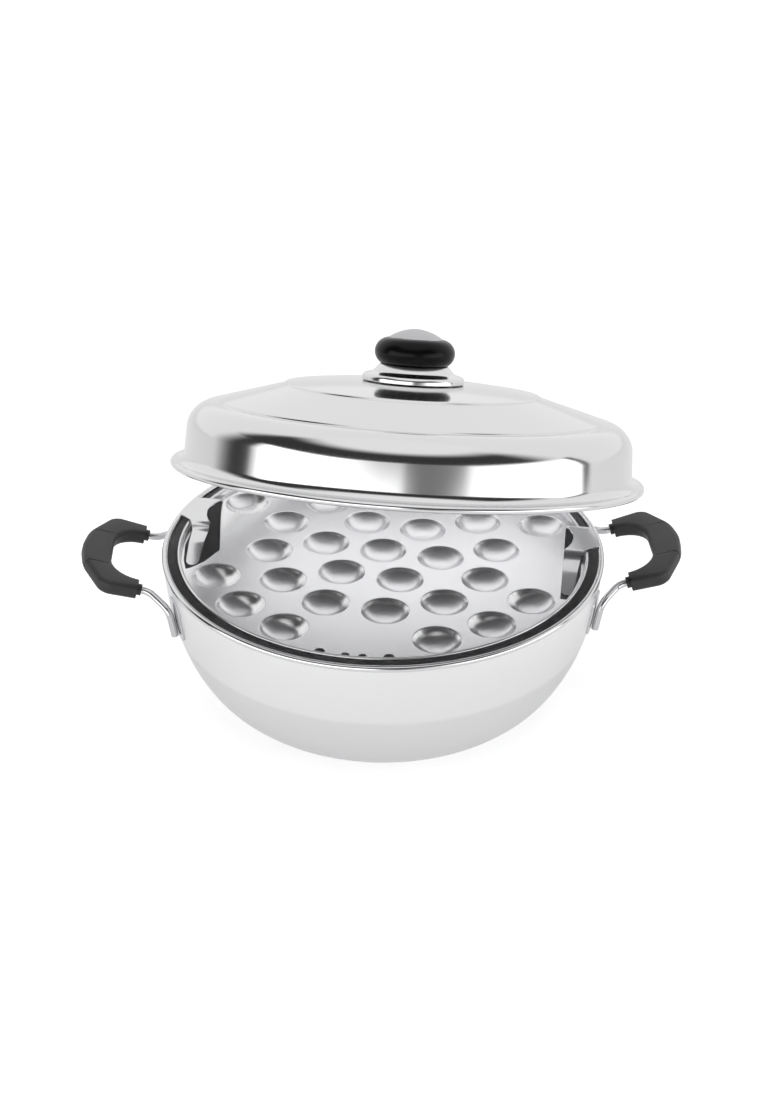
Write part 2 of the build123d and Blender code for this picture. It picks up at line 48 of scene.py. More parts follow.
def addNode(tree, kind, settings=None, links=None):
    node = tree.nodes.new(kind)
    for name, value in (settings or {}).items():
        if isinstance(name, str) and hasattr(node, name):
            setattr(node, name, value)
        else:
            node.inputs[name].default_value = value
    for name, source in (links or {}).items():
        tree.links.new(source, node.inputs[name])
    return node


# the red, green and blue of an sRGB hex colour as linear values
def hexColour(text):
    parts = [int(text[i:i + 2], 16) / 255 for i in (1, 3, 5)]
    return [c / 12.92 if c <= 0.04045 else ((c + 0.055) / 1.055) ** 2.4 for c in parts] + [1.0]


def newMaterial(name):
    material = bpy.data.materials.new(name)
    material.use_nodes = True
    material.node_tree.nodes.clear()
    return material, material.node_tree


# a line of (radius, height) corners in mm, each corner rounded with so many segments for a 60 degree turn
def wire(points, rounds=(), segments=8, fullTurn=math.radians(60)):
    bm = bmesh.new()
    verts = [bm.verts.new((r * mm, 0, h * mm)) for r, h in points]
    for a, b in zip(verts, verts[1:]):
        bm.edges.new((a, b))
    for i, radius in enumerate(rounds, start=1):
        if not radius:
            continue
        turn = turnAt(*(Vector(points[j]) for j in (i - 1, i, i + 1)))
        roundCorner(bm, verts[i], turn, radius, max(2, round(segments * turn / fullTurn) + 1))
    return bm


def roundCorner(bm, vert, turn, radius, segments):
    bmesh.ops.bevel(bm, geom=[vert], offset=radius * mm * math.tan(turn / 2), offset_type="OFFSET",
                    segments=segments, profile=0.5, affect="VERTICES", clamp_overlap=False, material=-1)


def turnAt(before, here, after):
    return (here - before).angle(after - here)


def spinRound(bm, steps):
    bmesh.ops.spin(bm, geom=bm.verts[:] + bm.edges[:], cent=(0, 0, 0), axis=(0, 0, 1),
                   angle=math.tau, steps=steps, use_merge=True)
    bmesh.ops.remove_doubles(bm, verts=bm.verts[:], dist=same)
    bmesh.ops.recalc_face_normals(bm, faces=bm.faces[:])
    return bm


def faceTowards(bm, direction):
    top = max(bm.faces, key=lambda f: f.calc_center_median().dot(direction))
    if top.normal.dot(direction) < 0:
        bmesh.ops.reverse_faces(bm, faces=bm.faces[:])


# the drawn face stays outside, and the sheet's thickness grows behind it
def giveThickness(bm, thickness):
    bmesh.ops.solidify(bm, geom=bm.faces[:], thickness=thickness * mm)


def addRing(bm, radius, height, tubeRadius, steps, around=24):
    ring = bmesh.new()
    made = bmesh.ops.create_circle(ring, segments=around, radius=tubeRadius * mm)
    turn = Matrix.Translation((radius * mm, 0, height * mm)) @ Matrix.Rotation(math.pi / 2, 4, "X")
    bmesh.ops.transform(ring, matrix=turn, verts=made["verts"])
    spinRound(ring, steps)
    mergeInto(bm, ring)


def cutAcross(bm, y):
    bmesh.ops.bisect_plane(bm, geom=bm.verts[:] + bm.edges[:] + bm.faces[:], plane_co=(0, y, 0),
                           plane_no=(0, 1, 0), dist=same / 10)


# a closed line through the corners
def drawLoop(bm, corners):
    verts = [bm.verts.new(corner) for corner in corners]
    for a, b in zip(verts, verts[1:] + verts[:1]):
        bm.edges.new((a, b))
    return verts


def mergeInto(bm, other):
    mesh = bpy.data.meshes.new("part")
    other.to_mesh(mesh)
    bm.from_mesh(mesh)
    bpy.data.meshes.remove(mesh)
    other.free()


def makePiece(name, bm, body, material, replaced=(), sharp=32):
    mesh = bpy.data.meshes.new(name)
    bm.to_mesh(mesh)
    bm.free()
    mesh.shade_smooth()
    mesh.set_sharp_from_angle(angle=math.radians(sharp))
    piece = bpy.data.objects.new(name, mesh)
    bpy.context.scene.collection.objects.link(piece)
    mesh.materials.append(material)
    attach(piece, body)
    if replaced:
        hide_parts(*replaced)
    return piece


def unevenRoughness(tree, source, middle, spread):
    span = {"To Min": middle - spread, "To Max": middle + spread}
    return addNode(tree, "ShaderNodeMapRange", span, {"Value": source}).outputs[0]


# sizes in mm; the real grain is finer and is drawn this coarse so that it shows
steel = {
    "grainDetail": 3.0,
    "grainRoughness": 0.6,
    "grainStrength": 0.35,
    "patch": 55.5,
    "patchDetail": 2.0,
}


# grain is the width of the lines or dimples, squeezed by so many times along x, y and z, and depth is
# theirs; spread is how far the roughness strays, and the last argument gives a darker colour under the
# pot's crease: painted shade for the shadowed floor that the lower wall reflects
def steelMaterial(name, colour, roughness, grain, depth, squeeze=(1, 1, 1), spread=0.05, metal=1.0,
                  paintedShadeBelow=None):
    material, tree = newMaterial(name)
    place = addNode(tree, "ShaderNodeTexCoord").outputs["Object"]
    squeezed = addNode(tree, "ShaderNodeMapping", {"Scale": squeeze}, {"Vector": place})
    lines = addNode(tree, "ShaderNodeTexNoise",
                    {"Scale": 1 / (grain * mm), "Detail": steel["grainDetail"],
                     "Roughness": steel["grainRoughness"]}, {"Vector": squeezed.outputs[0]})
    patches = addNode(tree, "ShaderNodeTexNoise",
                      {"Scale": 1 / (steel["patch"] * mm), "Detail": steel["patchDetail"]},
                      {"Vector": place})
    bump = addNode(tree, "ShaderNodeBump", {"Strength": steel["grainStrength"], "Distance": depth * mm},
                   {"Height": lines.outputs[0]})
    shader = addNode(tree, "ShaderNodeBsdfPrincipled",
                     {"Base Color": hexColour(colour), "Metallic": metal},
                     {"Roughness": unevenRoughness(tree, patches.outputs[0], roughness, spread),
                      "Normal": bump.outputs[0]})
    # painted shade: below the given heights the colour goes darker, standing in for the shadowed floor
    if paintedShadeBelow:
        height = addNode(tree, "ShaderNodeSeparateXYZ", links={"Vector": place}).outputs["Z"]
        span = {"From Min": paintedShadeBelow["from"] * mm, "From Max": paintedShadeBelow["to"] * mm}
        share = addNode(tree, "ShaderNodeMapRange", span, {"Value": height})
        tone = addNode(tree, "ShaderNodeValToRGB", None, {"Fac": share.outputs[0]})
        tone.color_ramp.elements[0].color = hexColour(paintedShadeBelow["colour"])
        tone.color_ramp.elements[1].color = hexColour(colour)
        tree.links.new(tone.outputs[0], shader.inputs["Base Color"])
    addNode(tree, "ShaderNodeOutputMaterial", links={"Surface": shader.outputs[0]})
    return material


# sizes in mm: specks left by the mould, and wide faint clouds in the colour
bakelite = {
    "ior": 1.5,
    "speck": 1.1,
    "speckDetail": 2.0,
    "speckStrength": 0.25,
    "cloud": 25.0,
    "cloudDetail": 3.0,
    "darkest": 0.85,
    "palest": 1.15,
    "spread": 0.05,
}


def bakeliteMaterial(name, colour, roughness, depth, shine=0.5):
    material, tree = newMaterial(name)
    place = addNode(tree, "ShaderNodeTexCoord").outputs["Object"]
    speck, cloud = (addNode(tree, "ShaderNodeTexNoise",
                            {"Scale": 1 / (bakelite[size] * mm), "Detail": bakelite[size + "Detail"]},
                            {"Vector": place}).outputs[0] for size in ("speck", "cloud"))
    tone = addNode(tree, "ShaderNodeValToRGB", None, {"Fac": cloud})
    for end, share in zip(tone.color_ramp.elements, (bakelite["darkest"], bakelite["palest"])):
        end.color = [c * share for c in hexColour(colour)[:3]] + [1.0]
    bump = addNode(tree, "ShaderNodeBump", {"Strength": bakelite["speckStrength"], "Distance": depth * mm},
                   {"Height": speck})
    shader = addNode(tree, "ShaderNodeBsdfPrincipled",
                     {"IOR": bakelite["ior"], "Specular IOR Level": shine},
                     {"Base Color": tone.outputs[0], "Normal": bump.outputs[0],
                      "Roughness": unevenRoughness(tree, cloud, roughness, bakelite["spread"])})
    addNode(tree, "ShaderNodeOutputMaterial", links={"Surface": shader.outputs[0]})
    return material


# stainless sheet spun on a former and buffed: pale, soft-edged reflections with rings of fine lines;
# the darker colour under the crease is painted shade for the shadowed floor it reflects
spunStainless = steelMaterial("spunStainless", "#F1F1F2", roughness=0.34, grain=16.7, squeeze=(1, 1, 12),
                              depth=0.08, spread=0.03,
                              paintedShadeBelow={"from": 62.0, "to": 65.5, "colour": "#E6E6E7"})
# stainless sheet pressed in a die: satin, faintly uneven
pressedStainless = steelMaterial("pressedStainless", "#F0F0F1", roughness=0.24, grain=25.0, depth=0.04,
                                 spread=0.03)
# inside of the lid, left matt from the spinning lathe: grey with hardly a reflection
satinStainless = steelMaterial("satinStainless", "#7C7C7D", roughness=0.6, grain=16.7, depth=0.06,
                               spread=0.03, metal=0.3)
# inside of the pot, left matt from the spinning lathe: paler, with faint rings
turnedStainless = steelMaterial("turnedStainless", "#E4E4E5", roughness=0.5, grain=16.7,
                                squeeze=(1, 1, 12), depth=0.06, spread=0.03, metal=0.4)
# mirror-buffed stainless: crisp reflections
mirrorStainless = steelMaterial("mirrorStainless", "#DEDEDF", roughness=0.13, grain=20.0, depth=0.01,
                                spread=0.02)
# drawn stainless wire and strip: bright with faint waves
drawnStainless = steelMaterial("drawnStainless", "#CFCFD1", roughness=0.16, grain=12.5, depth=0.04)
# brushed stainless disc in the knob: grey, wide soft glints
brushedCap = steelMaterial("brushedCap", "#BEBEC0", roughness=0.38, grain=8.3, squeeze=(1, 6, 1),
                           depth=0.06)
# brass insert turned on a lathe: yellow with fine rings
turnedBrass = steelMaterial("turnedBrass", "#C9A35B", roughness=0.3, grain=8.3, squeeze=(1, 1, 8),
                            depth=0.05)
# phenolic from a bead-blasted mould: matt charcoal
mouldedBakelite = bakeliteMaterial("mouldedBakelite", "#262627", roughness=0.48, depth=0.1)
# phenolic from a polished mould: black with soft glints
knobBakelite = bakeliteMaterial("knobBakelite", "#0A0A0B", roughness=0.24, depth=0.01, shine=0.14)
print("materials made")

camera = {
    "place": (0.0, -1.0367819, 0.7132212),
    "turn": (59.5382623, -0.6235825, 0.1057218),
    "lens": 57.2,
    "sensor": 36.0,
    "farthest": 50.0,
}
cameraData = bpy.data.cameras.new("camera")
cameraData.lens = camera["lens"]
cameraData.sensor_width = camera["sensor"]
cameraData.clip_end = camera["farthest"]
cameraObject = bpy.data.objects.new("camera", cameraData)
cameraObject.location = camera["place"]
cameraObject.rotation_euler = [math.radians(a) for a in camera["turn"]]
bpy.context.scene.collection.objects.link(cameraObject)
bpy.context.scene.camera = cameraObject

# profiles are (radius, height) in mm
pot = {
    "wall": [(148.9, 107.5), (148.7, 100.0), (147.9, 91.0), (146.7, 82.0), (145.1, 73.0), (143.0, 64.0),
             (140.3, 54.8), (137.0, 45.5), (132.8, 36.5), (127.6, 27.4), (120.5, 18.3), (110.0, 9.4),
             (97.0, 2.9), (82.0, 0.0)],
    "wallCuts": 4,
    "sheet": 1.0,
    "rimRadius": 150.0,
    "bead": 2.2,
    "steps": 192,
    "creaseHeight": 64.0,
    "creaseReach": 1.2,
    "creaseDepth": 0.3,
}


def smoothWire(points, perSpan):
    curve = bpy.data.curves.new("line", "CURVE")
    curve.dimensions = "3D"
    curve.resolution_u = perSpan
    spline = curve.splines.new("BEZIER")
    spline.bezier_points.add(len(points) - 1)
    for knot, (r, h) in zip(spline.bezier_points, points):
        knot.co = (r * mm, 0, h * mm)
        knot.handle_left_type = "AUTO"
        knot.handle_right_type = "AUTO"
    holder = bpy.data.objects.new("line", curve)
    bpy.context.scene.collection.objects.link(holder)
    bpy.context.view_layer.update()
    mesh = bpy.data.meshes.new_from_object(holder)
    bm = bmesh.new()
    bm.from_mesh(mesh)
    bpy.data.objects.remove(holder)
    bpy.data.curves.remove(curve)
    bpy.data.meshes.remove(mesh)
    return bm


def makePot(o):
    bm = smoothWire(o["wall"], o["wallCuts"])
    end = min(bm.verts, key=lambda v: v.co.z)
    centre = bm.verts.new((0, 0, end.co.z))
    bm.edges.new((end, centre))
    for v in bm.verts:
        if abs(v.co.z / mm - o["creaseHeight"]) < o["creaseReach"]:
            v.co.x -= o["creaseDepth"] * mm
    spinRound(bm, o["steps"])
    faceTowards(bm, Vector((1, 0, 0)))
    outer = set(bm.faces)
    giveThickness(bm, o["sheet"])
    for face in bm.faces:
        face.material_index = 0 if face in outer else 1
    piece = makePiece("potBowl", bm, "pot", spunStainless, ["pot_bowl"])
    piece.data.materials.append(turnedStainless)
    bm = bmesh.new()
    addRing(bm, o["rimRadius"] - o["bead"], rimHeight, o["bead"], o["steps"])
    makePiece("potBead", bm, "pot", mirrorStainless)


makePot(pot)
print("pot made")

lid = {
    "centre": (15.712, 6.34, 164.0),
    "tilt": 20.04,
    "lean": 81.64,
    "radius": 157.6,
    "bead": 2.2,
    "sheet": 0.8,
    "steps": 224,
    "profile": [(155.4, 2.2), (149.2, 2.2), (146.8, 39.0), (127.5, 41.0), (126.8, 42.3), (85.3, 54.3),
                (84.6, 55.6), (60.0, 59.3), (2.6, 60.4)],
    "rounds": [5.8, 17.0, 0.9, 0.9, 0.9, 0.9, 350.0],
}
lean = math.radians(lid["lean"])
lidPlace = (Matrix.Translation(Vector(lid["centre"]) * mm) @ Matrix.Rotation(lean, 4, "Z")
            @ Matrix.Rotation(math.radians(lid["tilt"]), 4, "Y") @ Matrix.Rotation(-lean, 4, "Z"))


def makeLid(o):
    bm = wire(o["profile"], o["rounds"])
    spinRound(bm, o["steps"])
    faceTowards(bm, Vector((0, 0, 1)))
    outer = set(bm.faces)
    giveThickness(bm, o["sheet"])
    for face in bm.faces:
        face.material_index = 0 if face in outer else 1
    addRing(bm, o["radius"] - o["bead"], 0, o["bead"], o["steps"])
    bm.transform(lidPlace)
    piece = makePiece("lidShell", bm, "lid", mirrorStainless, ["lid_shell"])
    piece.data.materials.append(satinStainless)


makeLid(lid)
print("lid made")

knob = {
    "collar": [(33.9, 60.6), (33.9, 64.4), (27.0, 66.3), (22.6, 71.5), (2.6, 71.5)],
    "collarRounds": [2.4, 4.0, 1.6],
    "collarSheet": 0.8,
    "foot": [(0.0, 71.5), (22.0, 71.5)],
    "swell": {"middle": (17.387, 79.4708), "turn": -142.372, "cuts": 28},  # the round side, one arc
    "recess": [(17.85, 88.6), (17.85, 86.4), (0.0, 86.4)],
    "cap": [(0.0, 86.4), (17.8, 86.4), (17.8, 88.9), (9.9, 94.9), (0.0, 94.9)],
    "capRounds": [0, 0.5, 29.0],
    "capCuts": 16,
    "steps": 96,
}


def makeKnob(o):
    bm = wire(o["collar"], o["collarRounds"])
    spinRound(bm, o["steps"])
    faceTowards(bm, Vector((0, 0, 1)))
    giveThickness(bm, o["collarSheet"])
    bm.transform(lidPlace)
    makePiece("knobCollar", bm, "lid", mirrorStainless, ["knob_collar"])
    bm = wire(o["foot"])
    edge = max(bm.verts, key=lambda v: v.co.x)
    r, h = o["swell"]["middle"]
    made = bmesh.ops.spin(bm, geom=[edge], cent=(r * mm, 0, h * mm), axis=(0, 1, 0),
                          angle=math.radians(o["swell"]["turn"]), steps=o["swell"]["cuts"])
    here = next(g for g in made["geom_last"] if isinstance(g, bmesh.types.BMVert))
    for r, h in o["recess"]:
        there = bm.verts.new((r * mm, 0, h * mm))
        bm.edges.new((here, there))
        here = there
    spinRound(bm, o["steps"])
    bm.transform(lidPlace)
    makePiece("knobBody", bm, "lid", knobBakelite, ["knob_body"])
    bm = spinRound(wire(o["cap"], o["capRounds"], o["capCuts"]), o["steps"])
    bm.transform(lidPlace)
    makePiece("knobCap", bm, "lid", brushedCap, ["knob_cap"])


makeKnob(knob)
print("knob made")

# rings are (radius, angles of the cups), steam is (angle, radius) of holes either side of front and back
tray = {
    "yaw": -7.7,
    "top": 106.6,
    "sheet": 0.8,
    "flatRadius": 136.9,
    "curb": [(136.9, 106.6), (137.9, 106.6), (138.3, 110.0)],
    "curbRounds": [0.8],
    "beadRadius": 138.3,
    "beadHeight": 110.0,
    "bead": 1.2,
    "beadAround": 16,
    "steps": 192,
    "weld": 0.02,
    "cup": [(17.1, 0.0), (15.7, 0.0), (13.9, -2.4), (11.5, -4.5), (8.9, -6.1), (6.0, -7.1), (3.0, -7.5),
            (0.0, -7.6)],
    "cupRounds": [1.0, 9.0, 9.0, 9.0, 9.0, 9.0],
    "cupSteps": 48,
    "rings": [(0.0, [0.0]), (40.1, [-5.75 + 60 * k for k in range(6)]),
              (77.4, [9.0 + 30 * k for k in range(12)]),
              (116.1, [m + s * a for m in (-90, 90) for a in (24.9, 44.7, 64.3) for s in (-1, 1)])],
    "steamRadius": 131.0,
    "steam": [(9.6, 3.4), (2.4, 2.7)],
    "steamSteps": 24,
    "windowRight": [(122.0, 49.0), (126.0, 49.0), (131.0, 34.0), (134.8, 12.0), (134.8, -14.0),
                    (131.0, -34.0), (127.0, -45.0), (123.0, -45.0)],
    "windowLeft": [(123.5, 49.0), (126.0, 49.0), (131.0, 34.0), (134.8, 12.0), (134.8, -14.0),
                   (131.0, -34.0), (127.0, -45.0), (124.0, -43.0), (117.0, -34.0), (110.0, -17.0)],
}
trayTurn = Matrix.Rotation(math.radians(tray["yaw"]), 4, "Z")


def polar(radius, degrees):
    return Vector((radius * math.cos(math.radians(degrees)), radius * math.sin(math.radians(degrees)), 0))


def makeTray(o):
    bm = bmesh.new()
    lift = Matrix.Translation((0, 0, o["top"] * mm))
    circles = [(Vector((0, 0, 0)), o["flatRadius"], o["steps"])]
    spots = [polar(r, a) for r, angles in o["rings"] for a in angles]
    circles += [(spot, o["cup"][0][0], o["cupSteps"]) for spot in spots]
    for middle in (-90, 90):
        for angle, radius in o["steam"]:
            for s in (-1, 1):
                circles.append((polar(o["steamRadius"], middle + s * angle), radius, o["steamSteps"]))
    for spot, radius, count in circles:
        bmesh.ops.create_circle(bm, segments=count, radius=radius * mm,
                                matrix=Matrix.Translation(spot * mm) @ lift)
    for corners, side in ((o["windowRight"], 1), (o["windowLeft"], -1)):
        drawLoop(bm, [(x * side * mm, y * mm, o["top"] * mm) for x, y in corners])
    bmesh.ops.triangle_fill(bm, edges=bm.edges[:], use_beauty=True, use_dissolve=False, normal=(0, 0, 1))
    cup = spinRound(wire(o["cup"], o["cupRounds"]), o["cupSteps"])
    faceTowards(cup, Vector((0, 0, 1)))
    mesh = bpy.data.meshes.new("cup")
    cup.to_mesh(mesh)
    cup.free()
    for spot in spots:
        before = len(bm.verts)
        bm.from_mesh(mesh)
        bm.verts.ensure_lookup_table()
        bmesh.ops.transform(bm, matrix=Matrix.Translation(spot * mm) @ lift, verts=bm.verts[before:])
    bpy.data.meshes.remove(mesh)
    mergeInto(bm, spinRound(wire(o["curb"], o["curbRounds"]), o["steps"]))
    bmesh.ops.remove_doubles(bm, verts=bm.verts[:], dist=o["weld"] * mm)
    bmesh.ops.recalc_face_normals(bm, faces=bm.faces[:])
    faceTowards(bm, Vector((0, 0, 1)))
    giveThickness(bm, o["sheet"])
    bm.transform(trayTurn)
    makePiece("cupTray", bm, "tray", pressedStainless, ["cup_tray"])
    bm = bmesh.new()
    addRing(bm, o["beadRadius"], o["beadHeight"], o["bead"], o["steps"], o["beadAround"])
    makePiece("trayBead", bm, "tray", mirrorStainless)


makeTray(tray)
print("tray made")

# the outline is seen from above, and the path gives the strip's height along y
clip = {
    "sheet": 1.2,
    "edge": 0.3,
    "outline": [(122.6, 58.0), (124.0, 58.0), (129.5, 45.0), (139.8, 43.0), (143.2, 31.0), (145.3, 18.0),
                (136.2, 9.8), (134.0, 4.5), (131.0, -30.5), (122.6, -30.5), (122.6, 9.5), (124.8, 13.0),
                (127.0, 19.0), (128.0, 26.0), (127.0, 33.0), (124.8, 39.0), (122.6, 42.5)],
    "outlineRounds": {8: 4.0, 9: 4.0},
    "roundCuts": 6,
    "edgeCuts": 2,
    "edgeFrom": 50.0,
    "path": [(58.0, 107.8), (50.0, 107.8), (43.0, 112.7), (8.5, 112.7), (4.5, 108.5), (-11.0, 107.6),
             (-31.0, 101.0)],
    "bendReach": (-1.0, -0.5, 0.0, 0.5, 1.0),
    "cuts": 60,
}


def clipHeight(o, y):
    for (y0, z0), (y1, z1) in zip(o["path"], o["path"][1:]):
        if y0 >= y >= y1:
            return z0 + (z1 - z0) * (y0 - y) / (y0 - y1)
    return o["path"][-1][1] if y < 0 else o["path"][0][1]


# the height averaged over the reach of a bend, so that the strip bends softly
def softHeight(o, y):
    return sum(clipHeight(o, y + reach) for reach in o["bendReach"]) / len(o["bendReach"])


def makeClip(o, name, side, node):
    bm = bmesh.new()
    verts = drawLoop(bm, [(x * mm, y * mm, 0) for x, y in o["outline"]])
    for i, radius in o["outlineRounds"].items():
        roundCorner(bm, verts[i], math.pi / 2, radius, o["roundCuts"])
    bmesh.ops.triangle_fill(bm, edges=bm.edges[:], use_beauty=True, use_dissolve=False, normal=(0, 0, 1))
    low = min(v.co.y for v in bm.verts)
    high = max(v.co.y for v in bm.verts)
    for k in range(1, o["cuts"]):
        cutAcross(bm, low + (high - low) * k / o["cuts"])
    for v in bm.verts:
        v.co.z = softHeight(o, v.co.y / mm) * mm
    bmesh.ops.scale(bm, vec=(side, 1, 1), verts=bm.verts[:])
    bmesh.ops.recalc_face_normals(bm, faces=bm.faces[:])
    faceTowards(bm, Vector((0, 0, 1)))
    giveThickness(bm, o["sheet"])
    bm.transform(trayTurn)
    piece = makePiece(name, bm, "tray", mirrorStainless, [node], o["edgeFrom"])
    edge = piece.modifiers.new("edge", "BEVEL")
    edge.width = o["edge"] * mm
    edge.segments = o["edgeCuts"]
    edge.limit_method = "ANGLE"
    edge.angle_limit = math.radians(o["edgeFrom"])


makeClip(clip, "trayClipRight", 1, "right_tray_clip")
makeClip(clip, "trayClipLeft", -1, "left_tray_clip")
print("clips made")

# a grip is drawn flat: first number out from its ends, second along the rim
grip = {
    "yaw": 2.75,
    "tilt": 16.0,
    "place": (164.5, 0.0, 100.4),
    "thick": 10.4,
    "outer": [(0.0, -42.3), (23.5, -44.5), (38.2, -18.0), (41.0, 0.0), (38.2, 18.0), (23.5, 44.5),
              (0.0, 42.3)],
    "outerRounds": [10.0, 30.0, 30.0, 30.0, 10.0],
    "inner": [(0.0, 29.9), (20.0, 28.5), (20.0, -28.5), (0.0, -29.9)],
    "innerRounds": [19.0, 19.0],
    "roundCuts": 10,
    "edge": 3.4,
    "edgeCuts": 5,
    "edgeFrom": 60.0,
    "sharpFrom": 28,
    "grooveAt": 20.0,
    "grooveFrom": 24.0,
    "grooveWidth": 1.4,
    "grooveDepth": 0.9,
}


# the turn about the pot's middle to its right or left side
def sideTurn(side):
    return Matrix.Rotation(math.radians(grip["yaw"] + (0 if side > 0 else 180)), 4, "Z")


def makeGrip(o, name, side, node):
    bm = bmesh.new()
    corners = o["outer"] + o["inner"]
    rounds = [0] + o["outerRounds"] + [0, 0] + o["innerRounds"] + [0]
    verts = drawLoop(bm, [(u * mm, t * mm, 0) for u, t in corners])
    spots = [v.co.copy() for v in verts]
    for i, radius in enumerate(rounds):
        if radius:
            turn = turnAt(spots[i - 1], spots[i], spots[(i + 1) % len(spots)])
            roundCorner(bm, verts[i], turn, radius, o["roundCuts"])
    bmesh.ops.triangle_fill(bm, edges=bm.edges[:], use_beauty=True, use_dissolve=True, normal=(0, 0, 1))
    made = bmesh.ops.extrude_face_region(bm, geom=bm.faces[:])
    grown = [g for g in made["geom"] if isinstance(g, bmesh.types.BMVert)]
    bmesh.ops.translate(bm, vec=(0, 0, o["thick"] * mm), verts=grown)
    bmesh.ops.recalc_face_normals(bm, faces=bm.faces[:])
    # the long edges above and below, but not those at the ends that face the pot
    rims = [e for e in bm.edges if len(e.link_faces) == 2
            and e.calc_face_angle() > math.radians(o["edgeFrom"])
            and abs(e.verts[0].co.z - e.verts[1].co.z) < same and max(v.co.x for v in e.verts) > mm]
    bmesh.ops.bevel(bm, geom=rims, offset=o["edge"] * mm, offset_type="OFFSET", segments=o["edgeCuts"],
                    profile=0.5, affect="EDGES", clamp_overlap=True, material=-1)
    half = o["grooveWidth"] / 2
    for middle in (-o["grooveAt"], o["grooveAt"]):
        for y in (middle - half, middle, middle + half):
            cutAcross(bm, y * mm)
    bm.normal_update()
    deep = [v for v in bm.verts if abs(abs(v.co.y / mm) - o["grooveAt"]) < half / 4
            and v.co.x > o["grooveFrom"] * mm]
    moves = [(v, v.normal.copy()) for v in deep]
    for v, normal in moves:
        v.co -= normal * o["grooveDepth"] * mm
    place = Matrix.Translation(Vector(o["place"]) * mm) @ Matrix.Rotation(-math.radians(o["tilt"]), 4, "Y")
    bm.transform(sideTurn(side) @ place @ Matrix.Translation((0, 0, -o["thick"] / 2 * mm)))
    makePiece(name, bm, "pot", mouldedBakelite, [node], o["sharpFrom"])


makeGrip(grip, "gripRight", 1, "right_grip")
makeGrip(grip, "gripLeft", -1, "left_grip")

rod = {
    "radius": 2.5,
    "roundCuts": 5,
    "bend": 9.0,
    "bendCuts": 8,
    "sharpFrom": 40,
    "points": [(139.9, 52.5, 74.0), (143.1, 52.0, 93.5), (157.0, 36.1, 98.25), (178.9, 36.1, 104.53)],
}


def makeRod(o, name, side, end, node):
    bm = bmesh.new()
    verts = [bm.verts.new((u * mm, end * t * mm, z * mm)) for u, t, z in o["points"]]
    for a, b in zip(verts, verts[1:]):
        bm.edges.new((a, b))
    spots = [v.co.copy() for v in verts]
    for i in (1, 2):
        roundCorner(bm, verts[i], turnAt(*spots[i - 1:i + 2]), o["bend"], o["bendCuts"])
    bm.transform(sideTurn(side))
    here = min((v for v in bm.verts if len(v.link_edges) == 1), key=lambda v: v.co.z)
    walked = [here]
    while len(walked) < len(bm.verts):
        here = next(e.other_vert(here) for e in here.link_edges if e.other_vert(here) not in walked)
        walked.append(here)
    curve = bpy.data.curves.new(name + "Line", "CURVE")
    curve.dimensions = "3D"
    curve.bevel_depth = o["radius"] * mm
    curve.bevel_resolution = o["roundCuts"]
    curve.use_fill_caps = True
    spline = curve.splines.new("POLY")
    spline.points.add(len(walked) - 1)
    for knot, v in zip(spline.points, walked):
        knot.co = (*v.co, 1)
    bm.free()
    line = bpy.data.objects.new(name + "Line", curve)
    bpy.context.scene.collection.objects.link(line)
    bpy.context.view_layer.update()
    solid = bpy.data.meshes.new_from_object(line)
    bpy.data.objects.remove(line)
    bpy.data.curves.remove(curve)
    bm = bmesh.new()
    bm.from_mesh(solid)
    bpy.data.meshes.remove(solid)
    makePiece(name, bm, "pot", drawnStainless, [node], o["sharpFrom"])


for sideName, side in (("right", 1), ("left", -1)):
    for endName, end in (("a", -1), ("b", 1)):
        makeRod(rod, f"{sideName}Rod{endName.upper()}", side, end, f"{sideName}_rod_{endName}")
print("grips and rods made")

# the solids that stay take the finish of their slot
kept = {"spun_steel": spunStainless, "pressed_steel": pressedStainless, "polished_steel": mirrorStainless,
        "brushed_cap_steel": brushedCap, "drawn_steel": drawnStainless, "black_bakelite": mouldedBakelite,
        "turned_brass": turnedBrass}
for part in frame["record"]["subparts"]:
    node = bpy.data.objects.get(part["node"])
    if node and node.type == "MESH":
        node.data.materials.clear()
        node.data.materials.append(kept[part["material_slot"]])

# a lamp without an aim of its own looks at the shared one
# a card's angles are in degrees, across from the front to the right and up; a tone of 1 is white,
# and soft gives the width of its left, right, lower and upper edge
studio = {
    "floor": "#E8E8E8",
    "floorReach": 2.2,
    "floorSteps": 96,
    "floorGap": 0.0005,
    "glow": 0.53,
    "metalGlow": 0.24,
    "world": 0.5,
    "lamps": [
        {"name": "topLight", "place": (0.1, 0.2, 2.2), "size": (2.2, 2.2), "power": 14.0},
        {"name": "leftLight", "place": (-1.25, -1.43, 0.5), "size": (2.6, 0.9), "power": 13.0},
        {"name": "rightLight", "place": (1.72, -0.8, 0.42), "size": (1.8, 0.84), "power": 8.0},
        {"name": "lidInsideLight", "place": (0.025, 0.075, 0.124), "size": (0.27, 0.1), "power": 0.68,
         "aim": (0.025, 0.12, 0.3), "spread": 140},
    ],
    "aim": (0, 0, 0.12),
    "wallReach": 1.6,
    "wallMiddle": 0.15,
    "wallRise": (-5, 64),
    "wallSteps": 360,
    "firstReflection": 1.5,  # a ray's depth is 1 there
    "plain": 0.97,
    "cards": [
        {"name": "upperBand", "across": (-110, 80), "up": (24, 58), "tone": 0.04, "soft": (16, 26, 3, 18)},
        {"name": "leftWindow", "across": (-80, -2), "up": (-8, 24), "tone": 2.0, "soft": (4, 3, 2, 2)},
        {"name": "middleCard", "across": (0, 30), "up": (-8, 24), "tone": 0.22, "soft": (14, 3, 2, 2)},
        {"name": "rightWindow", "across": (27, 91), "up": (-8, 20), "tone": 2.0, "soft": (40, 1, 2, 2)},
        {"name": "windowEdge", "across": (91, 96), "up": (-8, 22), "tone": 0.02, "soft": (1, 2, 2, 2)},
        {"name": "endCard", "across": (-106, -84), "up": (-6, 26), "tone": 0.04, "soft": (22, 4, 2, 2)},
    ],
}


